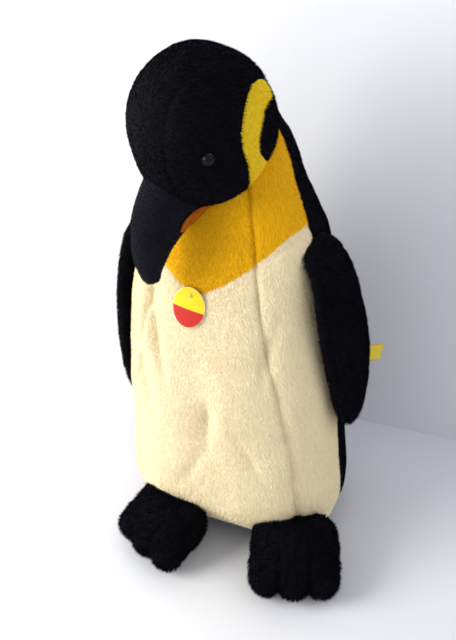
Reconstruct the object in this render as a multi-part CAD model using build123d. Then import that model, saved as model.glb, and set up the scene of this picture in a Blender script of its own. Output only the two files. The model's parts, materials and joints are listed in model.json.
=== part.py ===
from build123d import *
import os
from math import cos, radians, sin, tan

# Standing plush penguin, built as it is sewn: cloth panels round separate cores of filling.
# Millimetres, +Z up. The penguin faces -Y, its own left side is +X, and the origin is on the
# floor at the centre of the flat base.

os.makedirs("parts", exist_ok=True)

# ---- Torso and neck: driving sizes -------------------------------------------------------
torso_height = 480.0          # floor to the top of the neck core inside the head
torso_width = 238.0           # widest place, low on the belly
front_depth = 102.0           # centre line to the belly
back_depth = 97.0             # centre line to the back
oval_power = 3.0              # 2 is an ellipse, more is squarer
cloth = 3.0                   # backing cloth with its pile pressed flat
sole_cloth = 2.4
base_seam_height = 12.0       # the base panel turns up the side this far
neck_split_height = 400.0     # the neck turns above this level
neck_gap = 0.3                # clearance where the neck turns on the torso
pivot_height = 425.0          # the head nods about this point
pivot_back = -2.0
neck_radius = 60.0            # the head's filling rolls round the neck on this radius
nod_gap = 0.5

# Share of the height, of the half width, of the front depth and of the back depth.
TORSO_OUTLINE = (
    (0.000, 0.830, 0.50, 0.66),
    (0.025, 0.925, 0.62, 0.80),
    (0.063, 0.985, 0.76, 0.90),
    (0.104, 1.000, 0.87, 0.96),
    (0.167, 0.975, 0.95, 0.99),
    (0.271, 0.935, 1.00, 1.00),
    (0.417, 0.913, 0.98, 0.97),
    (0.563, 0.860, 0.92, 0.90),
    (0.688, 0.790, 0.82, 0.81),
    (0.771, 0.755, 0.72, 0.70),
    (0.833, 0.690, 0.62, 0.60),
    (0.896, 0.571, 0.53, 0.54),
    (0.958, 0.496, 0.46, 0.47),
    (1.000, 0.433, 0.41, 0.42),
)

# ---- Seams of the torso ------------------------------------------------------------------
# Share of the height, depth of the seam between cream and black, half width of the middle panels.
SEAMS = (
    (0.00, 12.0, 98.0),
    (0.14, 14.0, 97.0),
    (0.34, 24.0, 91.0),
    (0.48, 16.0, 80.0),
    (0.63, 0.0, 64.0),
    (0.80, -12.0, 47.0),
    (1.00, -20.0, 26.0),
)
throat_low = 338.0            # lowest point of the yellow throat
throat_rise = 60.0            # how much higher it meets the side seams

# ---- Filling inside the torso ------------------------------------------------------------
bag_height = 60.0
bag_floor = 14.0
bag_margin = 12.0             # filling between the bag and the cloth

# ---- Head --------------------------------------------------------------------------------
head_half_width = 61.0
head_half_depth = 70.0
head_half_height = 76.0
head_turn = -24.0             # looks to its right
head_nod = 24.0               # and down
head_offset = (8.0, -8.0, 83.0)   # from the pivot, in the head's own directions
crown_half_width = 24.0
head_parting_height = -18.0   # the crown strip ends here, at the front and the back
eye_place = (-36.0, 9.0)      # depth and height on the side of the head
eye_radius = 5.5
eye_proud = 2.6
stem_radius = 1.6
stem_length = 15.0
washer_radius = 7.0
washer_thickness = 1.5
fit_gap = 0.1                 # round the eye stems and the tag's pin

# ---- Beak, in the head's own directions: depth, height, half thickness, half width, slope ---
BEAK_LINE = (
    (-46.0, -33.0, 34.0, 25.5, 12.0),
    (-81.0, -46.0, 29.0, 20.5, 36.0),
    (-100.0, -61.0, 21.0, 16.5, 54.0),
    (-112.0, -78.0, 13.0, 13.0, 68.0),
    (-117.0, -90.0, 7.5, 8.5, 76.0),
)
beak_cloth = 1.6
mouth_drop = 7.0              # the mouth line runs this far below the beak's middle
stripe_thickness = 1.0
stripe_length = 40.0
stripe_width = 10.0
stripe_place = (-66.0, -57.0)
stripe_slope = 3.0

# ---- Flippers ----------------------------------------------------------------------------
flipper_length = 230.0
flipper_half_width = 50.0
flipper_half_thickness = 7.5
flipper_cloth = 2.0
shoulder_height = 360.0
shoulder_y = -14.0
shoulder_gap = 1.2            # between the torso and the top of a flipper
flipper_flare = 5.0           # hangs outwards, to clear the hip
flipper_bow = 8.0             # and follows the body's curve by this much at the middle
sweep_left = 13.0             # the left flipper hangs swept back
sweep_right = 4.0
# Share of the length, of the half width and of the half thickness, and shift to the back.
FLIPPER_OUTLINE = (
    (0.00, 0.60, 0.95, -0.06),
    (0.10, 0.80, 1.15, -0.04),
    (0.30, 1.00, 1.30, 0.00),
    (0.55, 1.05, 1.25, 0.02),
    (0.75, 1.00, 1.10, 0.04),
    (0.90, 0.82, 0.90, 0.08),
    (1.00, 0.45, 0.55, 0.12),
)

# ---- Feet --------------------------------------------------------------------------------
foot_half_width = 51.0
foot_length = 60.0            # from the ankle seam to the toes
foot_rear_height = 64.0
foot_toe_height = 34.0
toe_depth = 10.0              # the clefts between the toes
foot_cloth = 2.6
foot_gap = 1.0                # between the torso and the ankle seam
# Side (+1 is left), distance out from the middle, and how far the toes turn out.
FEET = (("left", 1, 94.0, 20.0), ("right", -1, 49.0, 25.0))

# ---- Tail --------------------------------------------------------------------------------
tail_length = 62.0
tail_half_width = 28.0
tail_half_thickness = 8.0
tail_root_height = 84.0
tail_slope = 52.0             # below the horizontal
tail_gap = 1.0

# ---- Tag and label -----------------------------------------------------------------------
tag_width = 34.0
tag_height = 42.0
tag_thickness = 0.8
tag_tilt = -7.0
tag_place = (-11.0, 338.0)    # the pin's place on the chest
tag_hole_share = 0.30         # the hole is this share of the height above the middle
pin_radius = 0.9
pin_head_radius = 2.4
pin_bar_length = 9.0
tag_stand_off = 1.0
label_width = 20.0
label_length = 22.0
label_cloth = 0.5
label_fold_gap = 0.8
label_seam = 4.0              # sewn this deep into the flipper's edge
label_share = 0.78            # how far down the flipper


def save(shape, name):
    """Write one sub-part as its own STEP file."""
    shape.label = name
    export_step(shape, f"parts/{name}.step")


def solid_of(shape):
    """The largest solid of a result, so that a boolean never leaves a loose sliver."""
    return max(shape.solids(), key=lambda solid: solid.volume)


def oval(half_width, front, back, power=oval_power, points=16):
    """A rounded-square closed outline in the XY plane; the front is towards -Y."""
    places = []
    for step in range(points):
        angle = 360.0 * step / points
        across = cos(radians(angle))
        along = sin(radians(angle))
        x = half_width * abs(across) ** (2 / power) * (1 if across > 0 else -1)
        y = abs(along) ** (2 / power) * (back if along > 0 else -front)
        places.append((x, y))
    return make_face(Spline(*places, periodic=True))


def torso_share(height, column):
    """Read one column of the torso outline at a height, in straight steps."""
    share = height / torso_height
    rows = list(zip(TORSO_OUTLINE, TORSO_OUTLINE[1:]))
    for low, high in rows:
        if share <= high[0]:
            break
    part = (share - low[0]) / (high[0] - low[0])
    return low[column] + part * (high[column] - low[column])


def torso_half_width(height):
    return torso_share(height, 1) * torso_width / 2


def torso_front(x, height):
    """Depth of the front surface at a place across the torso."""
    across = min(abs(x) / torso_half_width(height), 1.0)
    return -torso_share(height, 2) * front_depth * (1 - across ** oval_power) ** (1 / oval_power)


def torso_solid(inset):
    """The torso and neck, drawn in by a cloth's thickness where inset is not zero."""
    sections = []
    for share, wide, front, back in TORSO_OUTLINE:
        level = inset + share * (torso_height - 2 * inset)
        outline = oval(wide * torso_width / 2 - inset, front * front_depth - inset, back * back_depth - inset)
        sections.append(Pos(0, 0, level) * outline)
    return solid_of(loft(sections))


def slab(x=(-400, 400), y=(-400, 400), z=(-50, 700)):
    """A box given by its limits, used to divide a shell into panels."""
    size = (x[1] - x[0], y[1] - y[0], z[1] - z[0])
    middle = ((x[0] + x[1]) / 2, (y[0] + y[1]) / 2, (z[0] + z[1]) / 2)
    return Pos(*middle) * Box(*size)


def prism(points, depth, plane=Plane.XZ):
    """A straight-sided block through the whole body from a closed outline."""
    return extrude(plane * make_face(Polyline(*points, close=True)), depth, both=True)


# ---- Torso -------------------------------------------------------------------------------
pivot = (0.0, pivot_back, pivot_height)
head_place = Pos(*pivot) * Rot(0, 0, head_turn) * Rot(head_nod, 0, 0)
nod_frame = Pos(*pivot) * Rot(0, 0, head_turn)

outer = torso_solid(0)
inner = torso_solid(cloth)
below_neck = slab(z=(-50, neck_split_height))
above_neck = slab(z=(neck_split_height + neck_gap, 700))
skin = outer - inner

middle_edge = [(half, share * torso_height) for share, _, half in SEAMS]
middle = prism([*middle_edge, *((-x, height) for x, height in reversed(middle_edge))], 400)
throat_half = torso_half_width(throat_low)
throat_edge = Spline(
    (-throat_half, throat_low + throat_rise),
    (-0.5 * throat_half, throat_low + 0.42 * throat_rise),
    (0, throat_low),
    (0.5 * throat_half, throat_low + 0.42 * throat_rise),
    (throat_half, throat_low + throat_rise),
)
throat_top = Polyline(
    throat_edge @ 1,
    (2 * throat_half, throat_low + throat_rise),
    (2 * throat_half, 2 * torso_height),
    (-2 * throat_half, 2 * torso_height),
    (-2 * throat_half, throat_low + throat_rise),
    throat_edge @ 0,
)
throat = extrude(Plane.XZ * make_face([throat_edge, throat_top]), 400, both=True)

torso_skin = skin & below_neck & slab(z=(base_seam_height, 700))
side_edge = [(depth, share * torso_height) for share, depth, _ in SEAMS]
front_block = prism([(-400, 0), *side_edge, (-400, torso_height)], 400, Plane.YZ)
front_skin = torso_skin & front_block
back_skin = torso_skin - front_block
left_half = slab(x=(0, 400))
right_half = slab(x=(-400, 0))
belly = front_skin - throat
throat_skin = front_skin & throat

torso_parts = {
    "belly_centre_panel": belly & middle,
    "belly_side_left": (belly - middle) & left_half,
    "belly_side_right": (belly - middle) & right_half,
    "throat_centre_panel": throat_skin & middle,
    "throat_side_left": (throat_skin - middle) & left_half,
    "throat_side_right": (throat_skin - middle) & right_half,
    "back_panel_left": back_skin & left_half,
    "back_panel_right": back_skin & right_half,
    "base_panel": skin & slab(z=(-50, base_seam_height)),
}

# The weighted bag stands low in the filling, so the toy stays upright.
bag_inset = cloth + bag_margin
bag_outline = oval(
    torso_share(bag_floor, 1) * torso_width / 2 - bag_inset,
    torso_share(bag_floor, 2) * front_depth - bag_inset,
    torso_share(bag_floor, 3) * back_depth - bag_inset,
)
pellet_bag = Pos(0, 0, bag_floor) * extrude(bag_outline, bag_height)
body_stuffing = (inner & below_neck) - pellet_bag

# ---- Neck --------------------------------------------------------------------------------
def roller(radius):
    """A cylinder along the nodding axis."""
    return nod_frame * Rot(0, 90, 0) * Cylinder(radius, 400)


neck_zone = above_neck & roller(neck_radius)
neck_skin = skin & neck_zone
neck_parts = {
    "neck_stuffing": inner & neck_zone,
    "neck_throat_panel": neck_skin & front_block,
    "neck_nape_panel": neck_skin - front_block,
}

# ---- Head --------------------------------------------------------------------------------
def head_form(inset):
    """The head's egg in its own directions."""
    egg = scale(
        Sphere(1),
        by=(head_half_width - inset, head_half_depth - inset, head_half_height - inset),
    )
    return Pos(*head_offset) * egg


def head_surface_x(depth, height, inset=0.0):
    """How far out the side of the head is at a depth and a height from its middle."""
    room = 1 - (depth / (head_half_depth - inset)) ** 2 - (height / (head_half_height - inset)) ** 2
    return (head_half_width - inset) * room ** 0.5


def neck_clearance(grow=0.0):
    """The round space, in the head's own directions, that the neck needs as the head nods."""
    return Rot(0, 90, 0) * Cylinder(neck_radius + nod_gap + grow, 400)


head_socket = neck_clearance()
head_outer = head_form(0)
head_inner = head_form(cloth)
head_skin = (head_outer - head_inner) - head_socket
head_middle = Pos(*head_offset)
parting = head_middle * slab(
    x=(-crown_half_width, crown_half_width),
    z=(head_parting_height, 400),
)

# The cheek mark is a hook: up the cheek, over the top and a little down behind.
hook_outer = Spline((-9, -50), (-8, 2), (18, 26), (44, 23), (58, 8))
hook_inner = Spline((50, 0), (38, 6), (22, 3), (11, -9), (15, -50))
hook = make_face([hook_outer, Line((58, 8), (50, 0)), hook_inner, Line((15, -50), (-9, -50))])
hook_block = head_middle * extrude(Plane.YZ * hook, 400, both=True)

eye_depth, eye_height = eye_place
eye_x = head_surface_x(eye_depth, eye_height)


def eye_frame(side):
    """A frame on the head's surface whose Z axis points straight out of it."""
    out = Vector(
        side * eye_x / head_half_width ** 2,
        eye_depth / head_half_depth ** 2,
        eye_height / head_half_height ** 2,
    ).normalized()
    spot = Vector(side * eye_x, eye_depth, eye_height)
    return head_middle * Plane(origin=spot, z_dir=out).location


def eye_solid(side):
    """A domed plastic eye with the stem that goes through the cloth."""
    dome = scale(Sphere(1), by=(eye_radius, eye_radius, eye_proud)) & slab(z=(0, 50))
    stem = Pos(0, 0, -stem_length / 2 + 0.2) * Cylinder(stem_radius, stem_length)
    return eye_frame(side) * Pos(0, 0, fit_gap) * (dome + stem)


def eye_room(side):
    """The space that an eye's stem and its washer take inside the head."""
    stem = Pos(0, 0, -stem_length / 2) * Cylinder(stem_radius + fit_gap, stem_length + 2)
    ring = Pos(0, 0, washer_level) * Cylinder(washer_radius + fit_gap, washer_thickness + 2 * fit_gap)
    return eye_frame(side) * stem, eye_frame(side) * (stem + ring)


washer_level = -cloth - 2.0
head_stuffing = head_inner - head_socket
crown = head_skin & parting
head_parts = {}
for side_name, side, half in (("left", 1, slab(x=(0, 400))), ("right", -1, slab(x=(-400, 0)))):
    stem_hole, washer_hole = eye_room(side)
    side_skin = (head_skin - parting) & (Pos(head_offset[0], 0, 0) * half)
    ear_half = Pos(head_offset[0], 0, 0) * half
    head_parts[f"ear_patch_{side_name}"] = (side_skin & hook_block) & ear_half
    head_parts[f"head_side_{side_name}"] = side_skin - hook_block - stem_hole
    head_parts[f"eye_{side_name}"] = eye_solid(side)
    ring = Cylinder(washer_radius, washer_thickness) - Cylinder(stem_radius + fit_gap, washer_thickness)
    head_parts[f"eye_washer_{side_name}"] = eye_frame(side) * Pos(0, 0, washer_level) * ring
    head_stuffing = head_stuffing - washer_hole
head_parts["crown_gusset"] = crown
head_parts["head_stuffing"] = head_stuffing


# ---- Beak --------------------------------------------------------------------------------
def beak_form(grow):
    """The hooked beak, grown or drawn in by a thickness all round."""
    sections = []
    for depth, height, half_thick, half_wide, slope in BEAK_LINE:
        frame = head_middle * Pos(0, depth, height) * Rot(90 + slope, 0, 0)
        sections.append(frame * oval(half_wide + grow, half_thick + grow, half_thick + grow, 2.0, 16))
    return solid_of(loft(sections))


beak_outer = beak_form(0) - head_outer - head_socket
beak_inner = beak_form(-beak_cloth) - head_outer - neck_clearance(beak_cloth)
beak_tip = BEAK_LINE[-1]
beak_tip_cut = head_middle * Pos(0, beak_tip[0], beak_tip[1]) * Rot(90 + beak_tip[4], 0, 0)
beak_inner = beak_inner - beak_tip_cut * Pos(0, 0, 10 - beak_cloth) * Box(60, 60, 20)
beak_skin = beak_outer - beak_inner
mouth_line = []
for depth, height, half_thick, half_wide, slope in BEAK_LINE:
    drop = mouth_drop * half_thick / BEAK_LINE[0][2]
    mouth_line.append((depth + drop * sin(radians(slope)), height - drop * cos(radians(slope))))
under = [*mouth_line, (mouth_line[-1][0] + 1, -200), (60, -200), (60, mouth_line[0][1])]
lower_block = head_middle * prism(under, 400, Plane.YZ)
stripe_shape = scale(Circle(1), by=(stripe_length / 2, stripe_width / 2, 1))
stripe_outline = Plane.YZ * (Pos(*stripe_place) * Rot(0, 0, stripe_slope) * stripe_shape)
stripe_block = head_middle * extrude(stripe_outline, 400, both=True)
stripes = (beak_form(stripe_thickness) - beak_form(0) - head_outer - head_socket) & stripe_block
head_parts["beak_upper"] = beak_skin - lower_block
head_parts["beak_lower"] = beak_skin & lower_block
head_parts["beak_stuffing"] = beak_inner
head_parts["beak_stripe_left"] = stripes & (Pos(head_offset[0], 0, 0) * slab(x=(0, 400)))
head_parts["beak_stripe_right"] = stripes & (Pos(head_offset[0], 0, 0) * slab(x=(-400, 0)))
head_parts = {name: head_place * shape for name, shape in head_parts.items()}


# ---- Flippers ----------------------------------------------------------------------------
def flipper_bend(share):
    """How far the flipper's middle stands off the straight line between its ends."""
    return flipper_bow * 4 * share * (1 - share)


def flipper_form(side, inset):
    """A flipper hanging down from the origin, its flat sides facing +X and -X."""
    sections = []
    for share, wide, thick, shift in FLIPPER_OUTLINE:
        level = -(inset + share * (flipper_length - 2 * inset))
        half_wide = wide * flipper_half_width - inset
        half_thick = thick * flipper_half_thickness - inset
        outline = oval(half_thick, half_wide, half_wide, 2.2, 20)
        place = Pos(side * flipper_bend(share), shift * flipper_half_width, level)
        sections.append(place * outline)
    return solid_of(loft(sections))


def flipper_half(side):
    """Everything on the outer side of the flipper's middle surface."""
    middle_line = [(side * flipper_bend(k / 10), -flipper_length * k / 10) for k in range(11)]
    far = side * 400
    corners = [(far, 50), (0, 50), *middle_line, (0, -500), (far, -500)]
    return prism(corners, 400)


def flipper_frame(side, sweep):
    """Where a flipper's top edge is: far enough out for the flipper to clear the torso all the way."""
    out = 0.0
    for share, wide, thick, shift in FLIPPER_OUTLINE:
        drop = share * flipper_length * cos(radians(flipper_flare))
        half_thick = thick * flipper_half_thickness
        clear = torso_half_width(shoulder_height - drop) + shoulder_gap + half_thick
        out = max(out, clear - drop * tan(radians(flipper_flare)) - flipper_bend(share))
    return Pos(side * out, shoulder_y, shoulder_height) * Rot(sweep, 0, 0) * Rot(0, -side * flipper_flare, 0)


label_level = -label_share * flipper_length
label_rows = [row for row in zip(FLIPPER_OUTLINE, FLIPPER_OUTLINE[1:]) if row[0][0] <= label_share <= row[1][0]]
label_part = (label_share - label_rows[0][0][0]) / (label_rows[0][1][0] - label_rows[0][0][0])
label_edge = flipper_half_width * sum(
    label_rows[0][0][column] * (1 - label_part) + label_rows[0][1][column] * label_part for column in (1, 3)
)
label_thickness = 2 * label_cloth + label_fold_gap


def label_solid():
    """A strip folded double, its two ends sewn into the flipper's back edge."""
    reach = label_length + label_seam
    strip = Box(label_thickness, reach, label_width)
    hollow = Pos(0, -label_cloth, 0) * Box(label_fold_gap, reach, label_width)
    return Pos(flipper_bend(label_share), label_edge - label_seam + reach / 2, label_level) * (strip - hollow)


def label_room():
    """The slot in the edge of the flipper that takes the label's ends."""
    gap = 0.2
    reach = label_length + label_seam + gap
    block = Box(label_thickness + gap, reach, label_width + gap)
    return Pos(flipper_bend(label_share), label_edge - label_seam - gap + reach / 2, label_level) * block


flipper_parts = {}
for side_name, side, sweep in (("left", 1, sweep_left), ("right", -1, sweep_right)):
    frame = flipper_frame(side, sweep)
    wadding = flipper_form(side, flipper_cloth)
    shell = flipper_form(side, 0) - wadding
    if side_name == "left":
        shell = shell - label_room()
        wadding = wadding - label_room()
        flipper_parts["sewn_label"] = frame * label_solid()
    outside = flipper_half(side)
    flipper_parts[f"flipper_outer_{side_name}"] = frame * (shell & outside)
    flipper_parts[f"flipper_lining_{side_name}"] = frame * (shell - outside)
    flipper_parts[f"flipper_wadding_{side_name}"] = frame * wadding


# ---- Feet --------------------------------------------------------------------------------
def foot_plan(inset):
    """The foot from above: a straight ankle seam and three rounded toes, towards -Y."""
    half = foot_half_width - inset
    toe = half / 3
    front = foot_length - inset
    cleft = front - toe_depth
    heel = half * 0.80
    outline = [Spline((-heel, -inset), (-half, -0.45 * foot_length), (-half, -cleft))]
    for index in range(3):
        start = -half + 2 * toe * index
        reach = front if index == 1 else front - 0.25 * toe_depth
        outline.append(ThreePointArc((start, -cleft), (start + toe, -reach), (start + 2 * toe, -cleft)))
    outline.append(Spline((half, -cleft), (half, -0.45 * foot_length), (heel, -inset)))
    outline.append(Line((heel, -inset), (-heel, -inset)))
    return make_face(outline)


def foot_side(inset):
    """The foot from its side, in depth and height."""
    low = sole_cloth if inset else 0.0
    front = -foot_length + inset
    top = Spline(
        (-inset, foot_rear_height - inset),
        (-0.5 * foot_length, 0.93 * foot_rear_height - inset),
        (-0.85 * foot_length, foot_toe_height),
        (front, 0.38 * foot_toe_height),
    )
    rest = Polyline((front, 0.38 * foot_toe_height), (front + 5, low), (-inset, low), (-inset, foot_rear_height - inset))
    return make_face([top, rest])


def foot_form(inset):
    plan = extrude(foot_plan(inset), foot_rear_height + 20)
    side_view = extrude(Plane.YZ * foot_side(inset), 200, both=True)
    return solid_of(plan & side_view)


def ankle_depth(side, out, toe_turn):
    """How far forward the ankle seam stands, so that the whole seam clears the torso."""
    turn = radians(side * toe_turn)
    ahead = (sin(turn), -cos(turn))
    across = (cos(turn), sin(turn))
    nearest = 0.0
    for step in range(-10, 11):
        x = side * out + step / 10 * foot_half_width
        if abs(x) < torso_half_width(foot_rear_height):
            y = torso_front(x, foot_rear_height)
            reach = x * ahead[0] + y * ahead[1]
            nearest = max(nearest, reach)
    base = nearest + foot_gap
    return (base - side * out * ahead[0]) / ahead[1], across


foot_parts = {}
foot_frames = {}
foot_outer = foot_form(0)
foot_inner = foot_form(foot_cloth)
sole_block = slab(z=(-50, sole_cloth))
for side_name, side, out, toe_turn in FEET:
    ankle_y, across = ankle_depth(side, out, toe_turn)
    frame = Pos(side * out, ankle_y, 0) * Rot(0, 0, side * toe_turn)
    foot_frames[side_name] = (side * out, ankle_y, foot_rear_height, across)
    foot_parts[f"foot_top_{side_name}"] = frame * (foot_outer - foot_inner - sole_block)
    foot_parts[f"foot_sole_{side_name}"] = frame * (foot_outer & sole_block)
    foot_parts[f"foot_stuffing_{side_name}"] = frame * foot_inner


# ---- Tail --------------------------------------------------------------------------------
def tail_form(inset):
    """A short flat tail pointing along -Z from its seam."""
    sections = []
    for share, wide, thick in ((0.0, 1.0, 1.0), (0.35, 0.98, 0.95), (0.75, 0.75, 0.75), (1.0, 0.38, 0.45)):
        level = -(inset + share * (tail_length - 2 * inset))
        half_thick = thick * tail_half_thickness - inset
        outline = oval(wide * tail_half_width - inset, half_thick, half_thick, 2.2, 20)
        sections.append(Pos(0, 0, level) * outline)
    return solid_of(loft(sections))


tail_reach = torso_share(tail_root_height, 3) * back_depth + tail_gap
tail_tilt = 90 - tail_slope
tail_back = tail_reach + tail_half_thickness * cos(radians(tail_tilt))
tail_frame = Pos(0, tail_back, tail_root_height) * Rot(tail_tilt, 0, 0)
tail_outer = tail_form(0)
tail_inner = tail_form(cloth)
tail_parts = {
    "tail_skin": tail_frame * (tail_outer - tail_inner),
    "tail_stuffing": tail_frame * tail_inner,
}

# ---- Swing tag ---------------------------------------------------------------------------
tag_x, tag_z = tag_place
tag_spot = Vector(tag_x, torso_front(tag_x, tag_z), tag_z)
rise = 5.0
lean = (torso_front(tag_x, tag_z + rise) - torso_front(tag_x, tag_z - rise)) / (2 * rise)
yaw = (torso_front(tag_x + rise, tag_z) - torso_front(tag_x - rise, tag_z)) / (2 * rise)
tag_normal = Vector(yaw, -1, lean).normalized()
tag_plane = Plane(origin=tag_spot, x_dir=Vector(1, yaw, 0), z_dir=tag_normal).location
tag_stack = tag_stand_off + tag_thickness
card = Rot(0, 0, tag_tilt) * Pos(0, -tag_hole_share * tag_height, 0) * Ellipse(tag_width / 2, tag_height / 2)
card = card - Circle(pin_radius + fit_gap)
pin_shank = Pos(0, 0, (tag_stack - 2 * cloth) / 2) * Cylinder(pin_radius, tag_stack + 2 * cloth + 1)
pin_head = Pos(0, 0, tag_stack + 0.6) * Cylinder(pin_head_radius, 0.9)
pin_bar = Pos(0, 0, -2 * cloth) * Rot(0, 90, 0) * Cylinder(pin_radius, pin_bar_length)
pin = tag_plane * (pin_shank + pin_head + pin_bar)
pin_room = tag_plane * (
    Pos(0, 0, -cloth) * Cylinder(pin_radius + fit_gap, 2 * cloth + 6)
    + Pos(0, 0, -2 * cloth) * Rot(0, 90, 0) * Cylinder(pin_radius + fit_gap, pin_bar_length + 2 * fit_gap)
)
tag_parts = {
    "swing_tag": tag_plane * Pos(0, 0, tag_stand_off) * extrude(card, tag_thickness),
}
torso_parts["throat_centre_panel"] = torso_parts["throat_centre_panel"] - pin_room
torso_parts["belly_centre_panel"] = torso_parts["belly_centre_panel"] - pin_room
torso_parts["body_stuffing"] = body_stuffing - pin_room
torso_parts["pellet_bag"] = pellet_bag
torso_parts["tag_pin"] = pin

for group in (torso_parts, neck_parts, head_parts, flipper_parts, foot_parts, tail_parts, tag_parts):
    for name, shape in group.items():
        save(solid_of(shape), name)

head_axis = (cos(radians(head_turn)), sin(radians(head_turn)), 0.0)
print("neck_turn", (0.0, pivot_back, neck_split_height), "axis Z")
print("head_nod", pivot, "axis", head_axis)
for side_name, side, sweep in (("left", 1, sweep_left), ("right", -1, sweep_right)):
    spot = flipper_frame(side, sweep)
    print("flipper", side_name, spot.position, "axis", (0.0, cos(radians(sweep)), sin(radians(sweep))))
for side_name, values in foot_frames.items():
    print("foot", side_name, values)
print("tail", (0.0, tail_reach, tail_root_height), "tag", tag_spot, tag_normal)
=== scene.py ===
import json
import math

import bmesh
import bpy
import numpy as np
from mathutils import Matrix, Vector, noise


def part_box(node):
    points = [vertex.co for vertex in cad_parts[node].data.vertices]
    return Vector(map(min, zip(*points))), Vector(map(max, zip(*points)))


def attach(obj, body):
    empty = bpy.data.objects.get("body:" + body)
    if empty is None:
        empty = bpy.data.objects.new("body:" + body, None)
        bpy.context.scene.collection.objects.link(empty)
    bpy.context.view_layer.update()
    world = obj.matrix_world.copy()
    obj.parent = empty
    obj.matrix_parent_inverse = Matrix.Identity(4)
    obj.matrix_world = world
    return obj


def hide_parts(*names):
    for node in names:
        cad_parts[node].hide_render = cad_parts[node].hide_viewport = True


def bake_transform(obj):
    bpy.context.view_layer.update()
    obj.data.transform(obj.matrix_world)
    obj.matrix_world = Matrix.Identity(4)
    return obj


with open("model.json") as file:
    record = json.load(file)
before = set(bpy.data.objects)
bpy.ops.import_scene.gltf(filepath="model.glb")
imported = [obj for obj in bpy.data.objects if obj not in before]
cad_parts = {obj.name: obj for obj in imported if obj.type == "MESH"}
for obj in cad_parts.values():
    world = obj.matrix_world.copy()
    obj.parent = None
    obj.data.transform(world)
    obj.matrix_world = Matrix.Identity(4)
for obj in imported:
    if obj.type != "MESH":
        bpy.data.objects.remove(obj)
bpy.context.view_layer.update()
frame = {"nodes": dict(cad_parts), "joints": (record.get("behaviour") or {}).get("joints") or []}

# Plush penguin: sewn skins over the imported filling, with a cut pile grown on every skin.
# Metres. The penguin faces -Y, its own left side is +X, and it stands on z = 0.

joints = {joint["name"]: joint for joint in frame["joints"]}
MM = 0.001

# ---- Camera and light --------------------------------------------------------------------
view_turn = 26.0
view_tilt = 36.0
view_roll = -2.5
view_distance = 1.0
view_aim = Vector((-0.0075, -0.0133, 0.263))
lens_mm = 53.7


def make_camera():
    """Looks down at the penguin from its left front."""
    turn, tilt, roll = (math.radians(a) for a in (view_turn, view_tilt, view_roll))
    back = Vector((math.sin(turn) * math.cos(tilt), -math.cos(turn) * math.cos(tilt), math.sin(tilt)))
    right = Vector((math.cos(turn), math.sin(turn), 0.0))
    up = back.cross(right)
    right_leaned = right * math.cos(roll) + up * math.sin(roll)
    up_leaned = up * math.cos(roll) - right * math.sin(roll)
    camera = bpy.data.objects.new("camera", bpy.data.cameras.new("camera"))
    camera.data.lens = lens_mm
    camera.data.sensor_width = 36.0
    camera.data.clip_end = 20.0
    turned = Matrix((right_leaned, up_leaned, back)).transposed().to_4x4()
    camera.matrix_world = Matrix.Translation(view_aim + back * view_distance) @ turned
    bpy.context.scene.collection.objects.link(camera)
    bpy.context.scene.camera = camera
    return right, back


def make_light(name, place, aim, size, power, colour):
    data = bpy.data.lights.new(name, "AREA")
    data.shape = "DISK"
    data.size = size
    data.energy = power
    data.color = colour
    lamp = bpy.data.objects.new(name, data)
    lamp.location = place
    lamp.rotation_euler = (Vector(aim) - Vector(place)).to_track_quat("-Z", "Y").to_euler()
    bpy.context.scene.collection.objects.link(lamp)


view_right, view_back = make_camera()
middle = Vector((0.0, 0.0, 0.28))
window_place = middle - view_right * 1.5 + view_back * 0.5 + Vector((0, 0, 0.35))
fill_place = middle + view_right * 1.2 + view_back * 1.2 + Vector((0, 0, 0.3))
make_light("window", window_place, middle, 1.2, 34.0, (1.0, 0.99, 0.96))
make_light("fill", fill_place, middle, 1.5, 5.0, (0.93, 0.96, 1.0))
world = bpy.data.worlds.new("studio")
world.use_nodes = True
world.node_tree.nodes["Background"].inputs["Color"].default_value = (0.90, 0.93, 1.0, 1.0)
world.node_tree.nodes["Background"].inputs["Strength"].default_value = 0.76
bpy.context.scene.world = world
bpy.context.scene.view_settings.view_transform = "Standard"


# ---- Materials ---------------------------------------------------------------------------
class Value:
    """A shader socket that takes part in Python sums; each sum adds its Math node."""

    def __init__(self, finish, socket):
        self.finish = finish
        self.socket = socket

    def sum(self, operation, first, second=0.0):
        return self.finish.value("ShaderNodeMath", {"operation": operation}, {0: first, 1: second})

    def __add__(self, other):
        return self.sum("ADD", self, other)

    def __radd__(self, other):
        return self.sum("ADD", other, self)

    def __sub__(self, other):
        return self.sum("SUBTRACT", self, other)

    def __rsub__(self, other):
        return self.sum("SUBTRACT", other, self)

    def __mul__(self, other):
        return self.sum("MULTIPLY", self, other)

    def __rmul__(self, other):
        return self.sum("MULTIPLY", other, self)

    def __gt__(self, other):
        return self.sum("GREATER_THAN", self, other)

    def soft_step(self, low, high):
        settings = {"interpolation_type": "SMOOTHSTEP"}
        sockets = {"Value": self, "From Min": low, "From Max": high}
        return self.finish.value("ShaderNodeMapRange", settings, sockets)


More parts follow.
